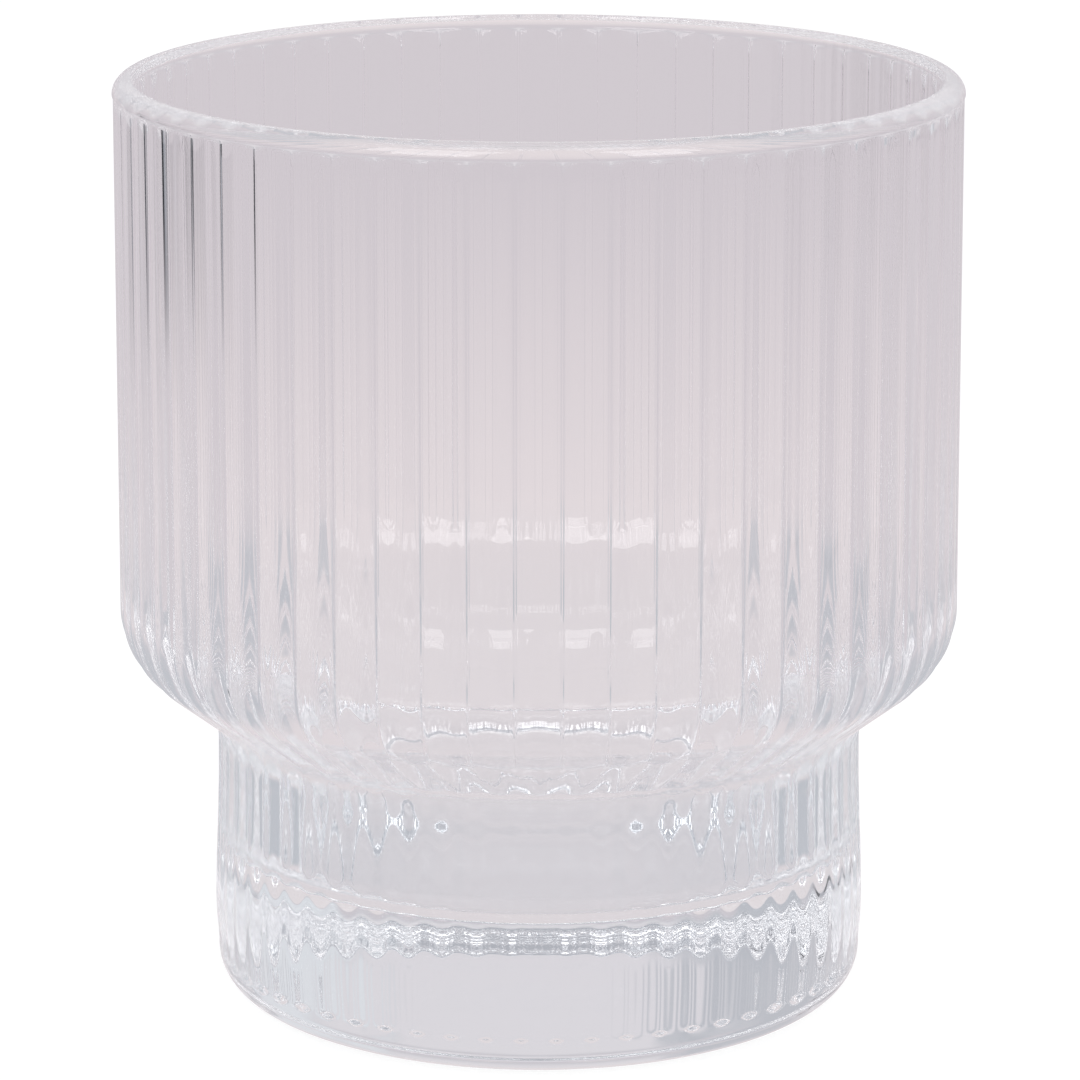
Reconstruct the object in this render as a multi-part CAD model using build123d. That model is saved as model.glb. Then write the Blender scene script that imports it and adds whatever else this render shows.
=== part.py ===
from build123d import *
import math
import os

# Chai glass: one piece of clear glass, pressed in a mould and fire-polished at the lip.
# A wide ribbed bowl stands on a narrower ribbed foot with a thick solid base.
# Z is up, and the origin is the middle of the ring that the glass stands on.

os.makedirs("parts", exist_ok=True)

# Overall sizes, in millimetres
height = 91.0
rim_diameter = 82.0
waist_diameter = 63.6

# Bowl and shoulder, outside
bowl_swell = 0.3
shoulder_height = 38.8
shoulder_radius = 8.0
shoulder_slope = 38.0
waist_fillet = 4.0

# Foot, outside
foot_swell = 0.5
foot_taper = 0.2
belly_height = 9.3
heel_radius = 3.75
recess_diameter = 44.0
recess_depth = 0.4

# Inside
wall = 2.1
inner_shoulder_lift = 1.3
inner_shoulder_radius = 8.3
foot_wall = 4.6
throat_radius = 6.0
base_thickness = 13.8
floor_corner = 3.0

# Lip: a round bead that stands a hair proud of the ribs
lip_bead = 0.1

# Ribs, moulded round the outside of both the bowl and the foot
rib_count = 60
rib_depth = 0.2
rib_runout = 0.6
rib_setback = 0.05
plain_lip = 1.9

overrun = 5.0

# Radii and heights that follow from the sizes above
rim_radius = rim_diameter / 2
crest_radius = rim_radius - lip_bead
bowl_radius = crest_radius + bowl_swell
waist_radius = waist_diameter / 2
foot_radius = waist_radius + foot_swell
base_radius = foot_radius - foot_taper
bore_radius = rim_radius - wall
cavity_radius = waist_radius - foot_wall
inner_shoulder_height = shoulder_height + inner_shoulder_lift
lip_round = wall / 2
lip_start = height - lip_round
rib_top = height - plain_lip
rib_angle = 360.0 / rib_count


def on_circle(centre, radius, degrees):
    """The point of a circle in the (radius, height) plane at an angle."""
    angle = math.radians(degrees)
    return (centre[0] + radius * math.cos(angle), centre[1] + radius * math.sin(angle))


def neck_centre(round_centre, round_radius, fillet, neck_radius):
    """Centre of the fillet where the shoulder's sloping underside turns down into a neck.

    The underside is tangent to the shoulder's round and to the fillet, which sets the fillet's height.
    """
    slope = math.radians(shoulder_slope)
    round_end = on_circle(round_centre, round_radius, shoulder_slope - 90)
    fillet_start = neck_radius + fillet * (1 - math.sin(slope))
    drop = (round_end[0] - fillet_start) * math.tan(slope)
    return (neck_radius + fillet, round_end[1] - drop - fillet * math.cos(slope))


def ribbed_outline(crest, depth, level):
    """A closed ring of arcs, one to each rib, that meet in sharp grooves."""
    arcs = []
    for rib in range(rib_count):
        middle_angle = math.radians(rib * rib_angle)
        half_rib = math.radians(rib_angle / 2)
        before, after = middle_angle - half_rib, middle_angle + half_rib
        start = Vector(math.cos(before), math.sin(before)) * (crest - depth)
        middle = Vector(math.cos(middle_angle), math.sin(middle_angle)) * crest
        end = Vector(math.cos(after), math.sin(after)) * (crest - depth)
        rise = Vector(0, 0, level)
        arcs.append(ThreePointArc(start + rise, middle + rise, end + rise))
    return Wire(arcs)


def turned(outline):
    """A solid of revolution about Z from a closed outline in the XZ plane."""
    return revolve(make_face(Plane.XZ * Wire(outline)), Axis.Z)


# The ribbed skin: rings of ribs at levels up the outside, from the heel to the lip.
# Each ring has its crest radius, its level and its groove depth, measured level.
# On the sloping underside the grooves are cut level deeper, to keep their depth square to the glass.
# The ribs end short above the heel, and run out to nothing below the lip.
round_centre = (bowl_radius - shoulder_radius, shoulder_height)
fillet_centre = neck_centre(round_centre, shoulder_radius, waist_fillet, waist_radius)
waist_height = fillet_centre[1]

fillet_steps = 2
round_steps = 3
sections = [
    (base_radius - rib_setback, heel_radius, rib_depth),
    (foot_radius, belly_height, rib_depth),
    (waist_radius, waist_height, rib_depth),
]
for step in range(1, fillet_steps + 1):
    turn = (90 - shoulder_slope) * step / fillet_steps
    radius, level = on_circle(fillet_centre, waist_fillet, 180 - turn)
    sections.append((radius, level, rib_depth / math.cos(math.radians(turn))))
for step in range(round_steps + 1):
    turn = (90 - shoulder_slope) * (1 - step / round_steps)
    radius, level = on_circle(round_centre, shoulder_radius, -turn)
    sections.append((radius, level, rib_depth / math.cos(math.radians(turn))))
sections.append((crest_radius, rib_top - rib_runout, rib_depth))
sections.append((crest_radius, rib_top, 0))
skin = Solid.make_loft([ribbed_outline(radius, depth, level) for radius, level, depth in sections], True)

# The plain lip above the ribs, with its edge rounded in the fire
lip_crown = (rim_radius - lip_round, height)
lip = turned(
    [
        Line((0, rib_top), (rim_radius, rib_top)),
        Line((rim_radius, rib_top), (rim_radius, lip_start)),
        RadiusArc((rim_radius, lip_start), lip_crown, -lip_round),
        Line(lip_crown, (0, height)),
        Line((0, height), (0, rib_top)),
    ]
)

# The base below the ribs: a round heel, a flat ring to stand on and a shallow recess inside it
recess_radius = recess_diameter / 2
recess_floor = recess_radius - recess_depth
ring_radius = base_radius - heel_radius
base = turned(
    [
        Line((0, heel_radius), (0, recess_depth)),
        Line((0, recess_depth), (recess_floor, recess_depth)),
        Line((recess_floor, recess_depth), (recess_radius, 0)),
        Line((recess_radius, 0), (ring_radius, 0)),
        RadiusArc((ring_radius, 0), (base_radius, heel_radius), -heel_radius),
        Line((base_radius, heel_radius), (0, heel_radius)),
    ]
)

# The inside: a straight bore for the bowl, an inner shoulder, and a narrower hollow in the foot
inner_centre = (bore_radius - inner_shoulder_radius, inner_shoulder_height)
throat_centre = neck_centre(inner_centre, inner_shoulder_radius, throat_radius, cavity_radius)
underside_end = on_circle(inner_centre, inner_shoulder_radius, shoulder_slope - 90)
throat_start = on_circle(throat_centre, throat_radius, 90 + shoulder_slope)
floor = base_thickness
corner_start = (cavity_radius - floor_corner, floor)
corner_end = (cavity_radius, floor + floor_corner)
cavity = turned(
    [
        Line((0, floor), corner_start),
        RadiusArc(corner_start, corner_end, -floor_corner),
        Line(corner_end, (cavity_radius, throat_centre[1])),
        RadiusArc((cavity_radius, throat_centre[1]), throat_start, throat_radius),
        Line(throat_start, underside_end),
        RadiusArc(underside_end, (bore_radius, inner_shoulder_height), -inner_shoulder_radius),
        Line((bore_radius, inner_shoulder_height), (bore_radius, lip_start)),
        RadiusArc((bore_radius, lip_start), lip_crown, lip_round),
        Line(lip_crown, (lip_crown[0], height + overrun)),
        Line((lip_crown[0], height + overrun), (0, height + overrun)),
        Line((0, height + overrun), (0, floor)),
    ]
)

tumbler = skin + lip + base - cavity
export_step(tumbler, "parts/tumbler.step")
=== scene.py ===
import math

import bpy
import numpy as np
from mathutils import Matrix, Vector


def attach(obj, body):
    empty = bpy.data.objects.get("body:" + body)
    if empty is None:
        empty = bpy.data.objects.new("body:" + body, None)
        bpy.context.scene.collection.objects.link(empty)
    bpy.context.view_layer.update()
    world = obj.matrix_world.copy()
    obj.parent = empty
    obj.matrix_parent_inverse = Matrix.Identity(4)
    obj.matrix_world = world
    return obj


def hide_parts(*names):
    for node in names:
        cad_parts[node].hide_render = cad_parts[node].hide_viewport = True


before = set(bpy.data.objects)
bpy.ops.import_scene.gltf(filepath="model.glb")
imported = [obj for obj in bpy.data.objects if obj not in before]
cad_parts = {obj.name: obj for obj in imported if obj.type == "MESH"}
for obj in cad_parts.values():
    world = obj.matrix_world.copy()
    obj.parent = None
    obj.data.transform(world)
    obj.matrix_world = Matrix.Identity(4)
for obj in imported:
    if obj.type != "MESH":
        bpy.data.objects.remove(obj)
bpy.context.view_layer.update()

scene = bpy.context.scene


# The glass: one pressed piece, a wide bowl over a narrower foot with a thick solid base.
# Sixty shallow ribs run down the outside, from under the smooth lip, over the shoulder, to the heel of the foot.
# Sizes are in millimetres and angles in degrees.

MM = 0.001

HEIGHT = 91.0
LIP_RADIUS = 41.0
LIP_BEAD = 0.1
LIP_OUTSIDE = 1.8
LIP_DROP = 1.5
LIP_INSIDE = 0.3
LIP_INSIDE_DROP = 0.7
WALL = 2.1

BOWL_RADIUS = 41.2
SHOULDER_HEIGHT = 38.8
SHOULDER_ROUND = 8.0
SHOULDER_SLOPE = 38.0
WAIST_FILLET = 4.0
WAIST_RADIUS = 31.8

FOOT_RADIUS = 32.3
BELLY_HEIGHT = 9.3
NARROWING_POWER = 1.5
HEEL_RADIUS = 32.05
HEEL_ROUND = 3.75
RECESS_RADIUS = 22.0
RECESS_FLAT = 19.8
RECESS_DEPTH = 0.4
RECESS_ROUND = 0.6

INNER_SHOULDER_HEIGHT = 40.1
INNER_SHOULDER_ROUND = 8.3
THROAT_ROUND = 6.0
CAVITY_RADIUS = 27.2
FLOOR_HEIGHT = 13.8
FLOOR_ROUND = 3.0
FLOOR_FLAT = 1.0

RIBS = 60
RIB_DEPTH = 0.2
GROOVE_DEPTH = 0.12
GROOVE_SHARE = 0.05
GROOVE_FADE = 4
HEEL_RUNOUT = 0.8
LIP_RUNOUT = 0.4
PLAIN_LIP = 1.6

# How many steps each round has in the mesh, and how near to its ends a straight wall has its extra rows
RECESS_STEPS = 5
HEEL_STEPS = 9
RUNOUT_STEPS = 3
FOOT_STEPS = 4
FILLET_STEPS = 7
SHOULDER_STEPS = 12
LIP_STEPS = 10
LIP_INSIDE_STEPS = 7
INNER_SHOULDER_STEPS = 10
THROAT_STEPS = 8
FLOOR_STEPS = 7
BOWL_MARGIN = 0.03
HOLLOW_MARGIN = 0.06


def shares(steps):
    """Equal shares of a way, from the first step to the whole."""
    return np.linspace(0, 1, steps + 1)[1:]


def pairs(radius, height):
    """Points of the section from radii and heights, either of which may be one number for all."""
    return np.stack(np.broadcast_arrays(radius, height), -1)


def arc(centre, radius, start, end, steps, rise=None):
    """Points on an arc from one angle to another: the centre, plus the radius times the cosine and sine of the angle.

    For an oval, rise is the radius upwards."""
    turn = np.radians(np.linspace(start, end, steps + 1))
    up = radius if rise is None else rise
    return pairs(centre[0] + radius * np.cos(turn), centre[1] + up * np.sin(turn))


def line(start, end, margin):
    """Three points on a straight line, at this share of it from either end and at its end.

    The rows close to its ends keep the shading flat between them, also where the line meets a round."""
    share = np.array([margin, 1 - margin, 1])[:, None]
    return np.array(start) * (1 - share) + np.array(end) * share


def neck(centre, round_radius, fillet, neck_radius):
    """Centre of the fillet under a shoulder, whose slope touches the shoulder's round and the fillet.

    From the end of the round, the slope falls by its tangent times the way inwards to the fillet."""
    slope = math.radians(SHOULDER_SLOPE)
    end = (centre[0] + round_radius * math.sin(slope), centre[1] - round_radius * math.cos(slope))
    touch = neck_radius + fillet * (1 - math.sin(slope))
    return (neck_radius + fillet, end[1] - (end[0] - touch) * math.tan(slope) - fillet * math.cos(slope))


def outside():
    """The outside of the section, from the recess under the base to the crown of the lip.

    Each row is a radius, a height, the depth of the ribs there and the depth of the core of their grooves. The foot
    swells and narrows with the sine of a quarter turn, taken over the way. On the rounds and the slope the ribs'
    depth is divided by the cosine of the turn, so that they stay as deep square to the glass, and the core fades
    with the fourth power of that cosine."""
    crest = LIP_RADIUS - LIP_BEAD
    shoulder = (BOWL_RADIUS - SHOULDER_ROUND, SHOULDER_HEIGHT)
    fillet = neck(shoulder, SHOULDER_ROUND, WAIST_FILLET, WAIST_RADIUS)
    steep = 90 - SHOULDER_SLOPE
    heel_top = HEEL_ROUND + HEEL_RUNOUT
    rib_end = HEIGHT - PLAIN_LIP - LIP_RUNOUT
    rows = []

    def add(points, depth=0.0, groove=0.0):
        """Rows from points, with one depth for all of them or one for each."""
        points = np.atleast_2d(points)
        depths = [np.broadcast_to(value, len(points)) for value in (depth, groove)]
        rows.append(np.column_stack([points, *depths]))

    # The flat of the recess, its soft edge, and the round heel
    edge = np.linspace(-1, 1, RECESS_STEPS + 1)
    add((RECESS_FLAT, RECESS_DEPTH))
    add(pairs(RECESS_RADIUS + RECESS_ROUND * edge, RECESS_DEPTH * (1 - np.sin(edge * np.pi / 2)) / 2))
    add(arc((HEEL_RADIUS - HEEL_ROUND, HEEL_ROUND), HEEL_ROUND, -90, 0, HEEL_STEPS))

    # The foot: the ribs start, it swells to its belly and narrows to the waist
    share = shares(RUNOUT_STEPS)
    quarter = np.sin(share * np.pi / 2)
    add(pairs(HEEL_RADIUS, HEEL_ROUND + HEEL_RUNOUT * share), RIB_DEPTH * quarter)
    swell = (FOOT_RADIUS - HEEL_RADIUS) * quarter
    add(pairs(HEEL_RADIUS + swell, heel_top + (BELLY_HEIGHT - heel_top) * share), RIB_DEPTH)
    share = shares(FOOT_STEPS)
    narrowing = (FOOT_RADIUS - WAIST_RADIUS) * np.sin(share * np.pi / 2) ** NARROWING_POWER
    add(pairs(FOOT_RADIUS - narrowing, BELLY_HEIGHT + (fillet[1] - BELLY_HEIGHT) * share), RIB_DEPTH)

    # The fillet, the slope and the shoulder
    level = np.cos(np.radians(steep * shares(FILLET_STEPS)))
    add(arc(fillet, WAIST_FILLET, 180, 180 - steep, FILLET_STEPS)[1:], RIB_DEPTH / level)
    level = np.cos(np.radians(np.linspace(steep, 0, SHOULDER_STEPS + 1)))
    add(arc(shoulder, SHOULDER_ROUND, -steep, 0, SHOULDER_STEPS), RIB_DEPTH / level,
        GROOVE_DEPTH * level ** GROOVE_FADE)

    # The bowl's straight wall, the end of the ribs, and the lip's outer round
    add(line((BOWL_RADIUS, SHOULDER_HEIGHT), (crest, rib_end), BOWL_MARGIN), RIB_DEPTH, GROOVE_DEPTH)
    share = shares(RUNOUT_STEPS)
    add(pairs(crest, rib_end + LIP_RUNOUT * share), RIB_DEPTH * (1 - share), GROOVE_DEPTH * (1 - share))
    add(arc((LIP_RADIUS - LIP_OUTSIDE, HEIGHT - LIP_DROP), LIP_OUTSIDE, 0, 90, LIP_STEPS, LIP_DROP))
    return np.vstack(rows)


def inside():
    """The inside of the section, from the crown of the lip to the flat floor of the foot's hollow.

    It is made of arcs and straight lines that touch, and its rows have no ribs and no grooves."""
    bore = LIP_RADIUS - WALL
    lip = (bore + LIP_INSIDE, HEIGHT - LIP_INSIDE_DROP)
    shoulder = (bore - INNER_SHOULDER_ROUND, INNER_SHOULDER_HEIGHT)
    throat = neck(shoulder, INNER_SHOULDER_ROUND, THROAT_ROUND, CAVITY_RADIUS)
    corner = (CAVITY_RADIUS - FLOOR_ROUND, FLOOR_HEIGHT + FLOOR_ROUND)
    points = np.vstack([
        arc(lip, LIP_INSIDE, 90, 180, LIP_INSIDE_STEPS, LIP_INSIDE_DROP)[1:],
        line((bore, lip[1]), (bore, INNER_SHOULDER_HEIGHT), BOWL_MARGIN),
        arc(shoulder, INNER_SHOULDER_ROUND, 0, SHOULDER_SLOPE - 90, INNER_SHOULDER_STEPS)[1:],
        arc(throat, THROAT_ROUND, 90 + SHOULDER_SLOPE, 180, THROAT_STEPS),
        line((CAVITY_RADIUS, throat[1]), (CAVITY_RADIUS, corner[1]), HOLLOW_MARGIN),
        arc(corner, FLOOR_ROUND, 0, -90, FLOOR_STEPS)[1:],
        [(corner[0] - FLOOR_FLAT, FLOOR_HEIGHT)],
    ])
    return np.column_stack([points, np.zeros((len(points), 2))])


def ribbed_solid(name, rows, base_middle, floor_middle):
    """A closed mesh from the section, turned round the glass's axis.

    Round the axis each rib has sixteen steps, closest at the groove. At a point a share u of the way from one crest
    to the next, the outside lies half of the rib depth times (1 - cosine of u turns) inside the crest circle.
    Within a twentieth of the way of the groove a second dip like it, as deep as the groove's core, is added."""
    half = np.array([0.0, 0.13, 0.25, 0.35, 0.41, 0.45, 0.467, 0.483])
    steps = np.concatenate([half, [0.5], 1 - half[:0:-1]])
    wave = np.tile((1 - np.cos(2 * np.pi * steps)) / 2, RIBS)
    near = np.clip(1 - np.abs(steps - 0.5) / GROOVE_SHARE, 0, 1)
    notch = np.tile((1 - np.cos(np.pi * near)) / 2, RIBS)
    angles = ((np.arange(RIBS)[:, None] + steps[None]) * 2 * np.pi / RIBS).ravel()
    around, along = len(angles), len(rows)

    # The points, row by row, and last the middles of the base and of the hollow's floor
    crest, height, depth, groove = (column[:, None] for column in rows.T)
    radius = crest - depth * wave - groove * notch
    level = np.repeat(height, around, 1)
    points = np.stack([radius * np.cos(angles), radius * np.sin(angles), level], -1).reshape(-1, 3)
    points = np.vstack([points, [[0, 0, base_middle]], [[0, 0, floor_middle]]]) * MM

    # Quads between neighbouring rows, and a fan of triangles round each middle
    ring = np.arange(around)
    beside = (ring + 1) % around
    start = np.arange(along - 1)[:, None] * around
    last = (along - 1) * around
    quads = np.stack([start + ring, start + beside, start + around + beside, start + around + ring], -1)
    base_fan = np.stack([np.full(around, len(points) - 2), beside, ring], -1)
    floor_fan = np.stack([np.full(around, len(points) - 1), last + ring, last + beside], -1)
    faces = quads.reshape(-1, 4).tolist() + base_fan.tolist() + floor_fan.tolist()
    mesh = bpy.data.meshes.new(name)
    mesh.from_pydata(points.tolist(), [], faces)
    mesh.shade_smooth()
    piece = bpy.data.objects.new(name, mesh)
    scene.collection.objects.link(piece)
    return piece


tumbler = ribbed_solid("tumbler_glass", np.vstack([outside(), inside()]), RECESS_DEPTH, FLOOR_HEIGHT)
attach(tumbler, "root")
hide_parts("tumbler")


# Soda-lime glass: almost colourless in the thin bowl, a trace cooler in the thick foot,
# with faint upright draw streaks from the mould and a fire-polished surface.

BOWL_TINT = (0.988, 0.984, 0.986, 1)
FOOT_TINT = (0.922, 0.940, 0.952, 1)
STREAK_TINT = (0.985, 0.985, 0.99, 1)
TINT_START, TINT_END = 24 * MM, 40 * MM
STREAK_SCALE = (90.0, 90.0, 9.0)


def ramp(value, start, end):
    """A smooth step from 0 to 1 as the value goes from start to end."""
    step = nodes.new("ShaderNodeMapRange")
    step.interpolation_type = "SMOOTHSTEP"
    links.new(value, step.inputs["Value"])
    step.inputs["From Min"].default_value = start
    step.inputs["From Max"].default_value = end
    return step.outputs["Result"]


def over(under, colour, share, blend="MIX"):
    """A colour laid over another, or over a colour already mixed, by a share."""
    mixed = nodes.new("ShaderNodeMix")
    mixed.data_type = "RGBA"
    mixed.blend_type = blend
    if isinstance(under, tuple):
        mixed.inputs["A"].default_value = under
    else:
        links.new(under, mixed.inputs["A"])
    mixed.inputs["B"].default_value = colour
    links.new(share, mixed.inputs["Factor"])
    return mixed.outputs["Result"]


glass = bpy.data.materials.new("clear_glass")
glass.use_nodes = True
nodes, links = glass.node_tree.nodes, glass.node_tree.links
shader = nodes["Principled BSDF"]
shader.inputs["IOR"].default_value = 1.52
shader.inputs["Transmission Weight"].default_value = 1.0
shader.inputs["Roughness"].default_value = 0.0
within = nodes.new("ShaderNodeTexCoord")
axes = nodes.new("ShaderNodeSeparateXYZ")
links.new(within.outputs["Object"], axes.inputs[0])
stretch = nodes.new("ShaderNodeMapping")
stretch.inputs["Scale"].default_value = STREAK_SCALE
links.new(within.outputs["Object"], stretch.inputs["Vector"])
streaks = nodes.new("ShaderNodeTexNoise")
streaks.inputs["Scale"].default_value = 1.0
streaks.inputs["Detail"].default_value = 2.0
links.new(stretch.outputs["Vector"], streaks.inputs["Vector"])
tint = over(FOOT_TINT, BOWL_TINT, ramp(axes.outputs["Z"], TINT_START, TINT_END))
veil = over(tint, STREAK_TINT, streaks.outputs["Fac"], "MULTIPLY")
links.new(veil, shader.inputs["Base Color"])
tumbler.data.materials.append(glass)


# A pale table with its left edge a hand's breadth away. The camera sees it as plain white with the soft shadow of the
# glass on it. The glass shows it lit by painted light and shade: a light pink pool of painted light in front, which
# fades to a pale grey, and a cooler patch of painted shade close to the glass on either side. Sizes are in metres.

TABLE_LEFT, TABLE_RIGHT, TABLE_HALF_DEPTH, TABLE_TOP = -0.25, 0.45, 1.6, -0.0002
WHITE_BOARD = (0.9, 0.9, 0.9, 1)
SHADOW_BOARD = (0.22, 0.22, 0.22, 1)
PAINTED_LIGHT_POOL = (0.830, 0.765, 0.775, 1)
PALE_BOARD = (0.650, 0.608, 0.642, 1)
PAINTED_SHADE_PATCH = (0.545, 0.560, 0.600, 1)
POOL_FORWARD, POOL_REACH = 0.1, 0.4
POOL_NARROWING = (2.5, 1.0, 1.0)
PATCH_INNER, PATCH_OUTER, PATCH_DEPTH = (0.045, 0.060), (0.110, 0.085), (0.20, 0.12)


def maths(operation, *values):
    """The result of a Math node on one value or two."""
    node = nodes.new("ShaderNodeMath")
    node.operation = operation
    for slot, value in enumerate(values):
        links.new(value, node.inputs[slot])
    return node.outputs[0]


floor_mesh = bpy.data.meshes.new("floor")
floor_mesh.from_pydata(
    [
        (TABLE_LEFT, -TABLE_HALF_DEPTH, TABLE_TOP),
        (TABLE_RIGHT, -TABLE_HALF_DEPTH, TABLE_TOP),
        (TABLE_RIGHT, TABLE_HALF_DEPTH, TABLE_TOP),
        (TABLE_LEFT, TABLE_HALF_DEPTH, TABLE_TOP),
    ],
    [], [(0, 1, 2, 3)])
floor = bpy.data.objects.new("floor", floor_mesh)
scene.collection.objects.link(floor)
table = bpy.data.materials.new("table")
table.use_nodes = True
nodes, links = table.node_tree.nodes, table.node_tree.links
nodes.clear()
spot = nodes.new("ShaderNodeTexCoord")
axes = nodes.new("ShaderNodeSeparateXYZ")
links.new(spot.outputs["Object"], axes.inputs[0])
pool = nodes.new("ShaderNodeMapping")
pool.inputs["Location"].default_value = (0.0, -POOL_FORWARD, 0.0)
pool.inputs["Scale"].default_value = POOL_NARROWING
links.new(spot.outputs["Object"], pool.inputs["Vector"])
away = nodes.new("ShaderNodeVectorMath")
away.operation = "LENGTH"
links.new(pool.outputs["Vector"], away.inputs[0])
# Painted light: a lighter pink pool on the table in front of the glass, fading out to the pale grey board
board = over(PAINTED_LIGHT_POOL, PALE_BOARD, ramp(away.outputs["Value"], 0.0, POOL_REACH))
aside = maths("ABSOLUTE", axes.outputs["X"])
deep = maths("ABSOLUTE", axes.outputs["Y"])
# Painted shade: a darker, cooler patch on the table close to the glass on either side
painted_shade_patch = maths("MULTIPLY", ramp(aside, *PATCH_INNER), ramp(aside, *PATCH_OUTER))
board = over(board, PAINTED_SHADE_PATCH, maths("MULTIPLY", painted_shade_patch, ramp(deep, *PATCH_DEPTH)))
pale = nodes.new("ShaderNodeEmission")
links.new(board, pale.inputs["Color"])
white = nodes.new("ShaderNodeEmission")
white.inputs["Color"].default_value = WHITE_BOARD
matte = nodes.new("ShaderNodeBsdfDiffuse")
matte.inputs["Color"].default_value = SHADOW_BOARD
lit = nodes.new("ShaderNodeAddShader")
links.new(white.outputs[0], lit.inputs[0])
links.new(matte.outputs[0], lit.inputs[1])
rays = nodes.new("ShaderNodeLightPath")
seen = nodes.new("ShaderNodeMixShader")
links.new(rays.outputs["Is Camera Ray"], seen.inputs[0])
links.new(pale.outputs[0], seen.inputs[1])
links.new(lit.outputs[0], seen.inputs[2])
out = nodes.new("ShaderNodeOutputMaterial")
links.new(seen.outputs[0], out.inputs[0])
floor_mesh.materials.append(table)


# The room round the glass, as the glass shows it: a pale backdrop, cooler above, a bright right side and the dark
# beyond the table's left edge. The camera sees it as plain white. Bearings are in degrees, 0 away from the
# camera and 90 to the right, and heights are those on a sphere of radius 1.

LOW_BACKDROP = (0.650, 0.608, 0.642, 1)
HIGH_BACKDROP = (0.575, 0.578, 0.615, 1)
BACK_GLOW = (0.755, 0.725, 0.755, 1)
CEILING = (0.44, 0.455, 0.495, 1)
RIGHT_WALL = (0.70, 0.71, 0.74, 1)
LIGHT_PANEL = (0.76, 0.775, 0.81, 1)
SHADED_PANEL = (0.52, 0.53, 0.57, 1)
DARK_GAP = (0.02, 0.024, 0.03, 1)
GREY_POST = (0.36, 0.37, 0.41, 1)
WHITE = (1.0, 1.0, 1.0, 1)
BACKDROP_FADE, CEILING_FADE = (0.0, 0.28), (0.50, 0.62)
GAP_HEIGHTS = (-0.185, 0.09)

world = bpy.data.worlds.new("studio")
scene.world = world
world.use_nodes = True
nodes, links = world.node_tree.nodes, world.node_tree.links
nodes.clear()
way = nodes.new("ShaderNodeTexCoord")
axes = nodes.new("ShaderNodeSeparateXYZ")
links.new(way.outputs["Generated"], axes.inputs[0])
bearing = maths("ARCTAN2", axes.outputs["X"], axes.outputs["Y"])
rise = axes.outputs["Z"]


def region(bearings, turn_edge, heights, rise_edge):
    """1 inside a range of bearings and a range of heights, 0 outside, with soft edges this wide all round."""
    left, right = bearings
    low, high = heights
    ends = [math.radians(angle) for angle in (left - turn_edge, left, right + turn_edge, right)]
    sector = maths("MULTIPLY", ramp(bearing, *ends[:2]), ramp(bearing, *ends[2:]))
    band = maths("MULTIPLY", ramp(rise, low - rise_edge, low), ramp(rise, high + rise_edge, high))
    return maths("MULTIPLY", sector, band)


# First the backdrop with the glow behind the glass, then the ceiling over them
room = over(LOW_BACKDROP, HIGH_BACKDROP, ramp(rise, *BACKDROP_FADE))
room = over(room, BACK_GLOW, region(bearings=(-12, 22), turn_edge=11, heights=(0.22, 0.50), rise_edge=0.12))
room = over(room, CEILING, ramp(rise, *CEILING_FADE))

# The right wall, and upright panels, two lighter and two darker, that give the ribs their light and dark sides
room = over(room, RIGHT_WALL, region(bearings=(60, 160), turn_edge=25, heights=(0.05, 0.75), rise_edge=0.15))
for bearings in (30, 46), (-150, -110):
    room = over(room, LIGHT_PANEL, region(bearings, turn_edge=6, heights=(-0.05, 0.42), rise_edge=0.06))
for bearings in (-40, -28), (54, 68):
    room = over(room, SHADED_PANEL, region(bearings, turn_edge=5, heights=(0.0, 0.36), rise_edge=0.06))

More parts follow.
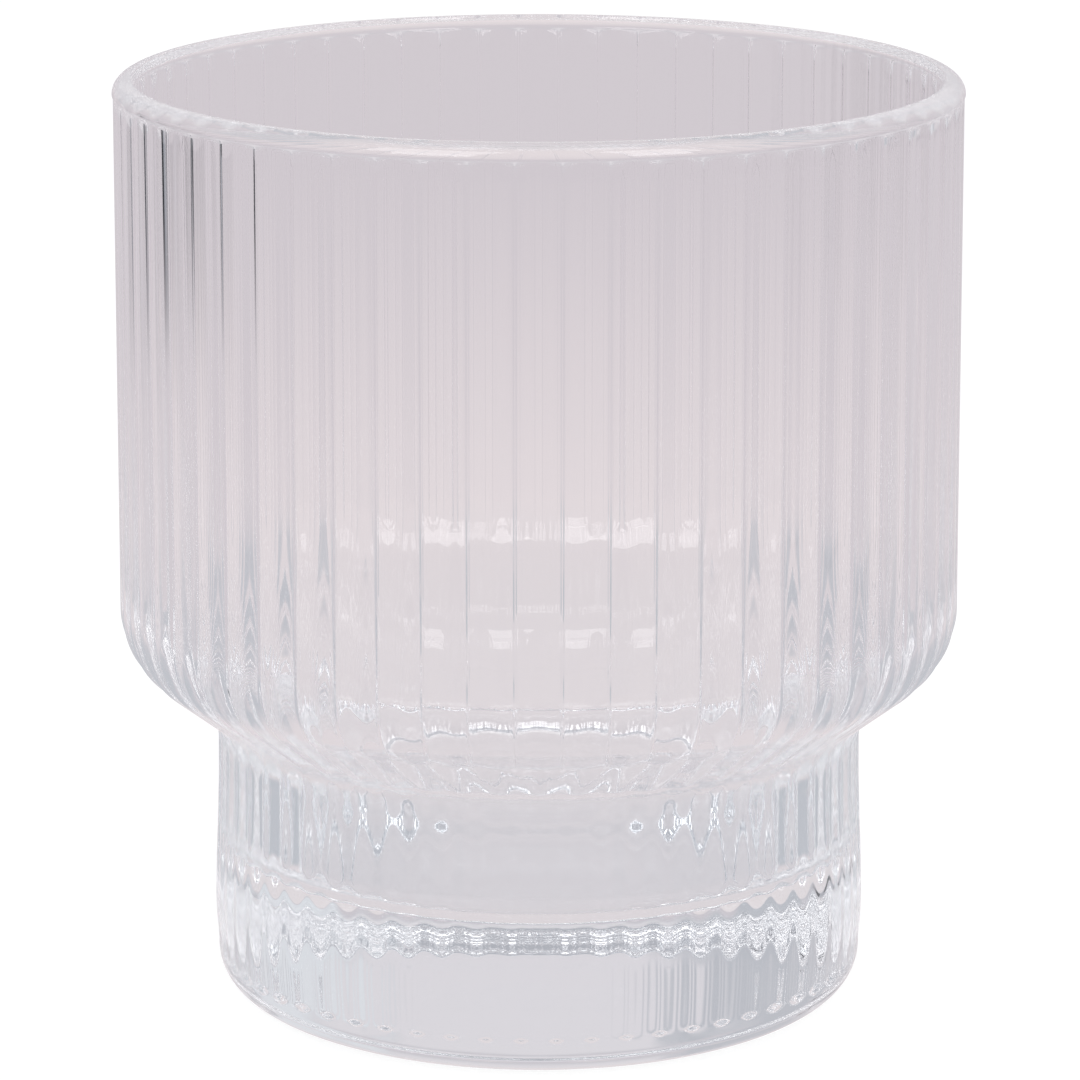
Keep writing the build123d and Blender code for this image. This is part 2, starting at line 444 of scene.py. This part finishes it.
# The dark beyond the table draws the black lines in the grooves at the left, and the post in it parts them
room = over(room, DARK_GAP, region(bearings=(-79, -47), turn_edge=4, heights=GAP_HEIGHTS, rise_edge=0.04))
room = over(room, GREY_POST, region(bearings=(-58, -52), turn_edge=2, heights=GAP_HEIGHTS, rise_edge=0.04))
rays = nodes.new("ShaderNodeLightPath")
room = over(room, WHITE, rays.outputs["Is Camera Ray"])
sky = nodes.new("ShaderNodeBackground")
links.new(room, sky.inputs["Color"])
out = nodes.new("ShaderNodeOutputWorld")
links.new(sky.outputs[0], out.inputs[0])


# Four soft boxes in front of the glass, two high and two lower, left and right of the camera. They draw the bright
# streaks on the lip and the white patches on the shoulder inside. Sizes are in metres.

AIM = Vector((0, 0, 0.045))


def soft_box(name, place, width, height, level):
    """A rectangular lamp that faces the glass. level is the brightness that its face shows, where 1 is white.

    Its power is that brightness times the area of its face times pi."""
    lamp = bpy.data.lights.new(name, "AREA")
    lamp.shape = "RECTANGLE"
    lamp.size, lamp.size_y = width, height
    lamp.energy = level * width * height * math.pi
    holder = bpy.data.objects.new(name, lamp)
    holder.location = place
    holder.rotation_euler = (AIM - Vector(place)).to_track_quat("-Z", "Y").to_euler()
    scene.collection.objects.link(holder)


soft_box("soft_box_left", (-0.37, -0.523, 0.8), width=0.46, height=0.46, level=2.3)
soft_box("soft_box_right", (0.40, -0.528, 0.8), width=0.30, height=0.46, level=2.3)
soft_box("low_box_left", (-0.37, -0.66, 0.50), width=0.30, height=0.22, level=3.0)
soft_box("low_box_right", (0.43, -0.66, 0.50), width=0.24, height=0.22, level=3.0)


# The camera stands half a metre in front of the glass and a little above its lip, and looks slightly down,
# through a long lens that the glass fills. Its place is in metres, its lens and sensor in millimetres.

CAMERA_PLACE = (0, -0.4715, 0.1648)
LOOKS_DOWN = 14.3
FOCAL_LENGTH, SENSOR_WIDTH = 164.6, 36
SHIFT = 0.0012

lens = bpy.data.cameras.new("camera")
lens.lens = FOCAL_LENGTH
lens.sensor_width = SENSOR_WIDTH
lens.shift_x = SHIFT
lens.clip_start = 0.01
camera = bpy.data.objects.new("camera", lens)
camera.location = CAMERA_PLACE
camera.rotation_euler = (math.radians(90 - LOOKS_DOWN), 0, 0)
scene.collection.objects.link(camera)
scene.camera = camera


# Light is followed through every reflection inside the glass.
# With fewer bounces the lip and the ribs' edges turn black.

BOUNCES = 256

scene.view_settings.view_transform = "Standard"
scene.cycles.max_bounces = BOUNCES
scene.cycles.transmission_bounces = BOUNCES
scene.cycles.glossy_bounces = BOUNCES
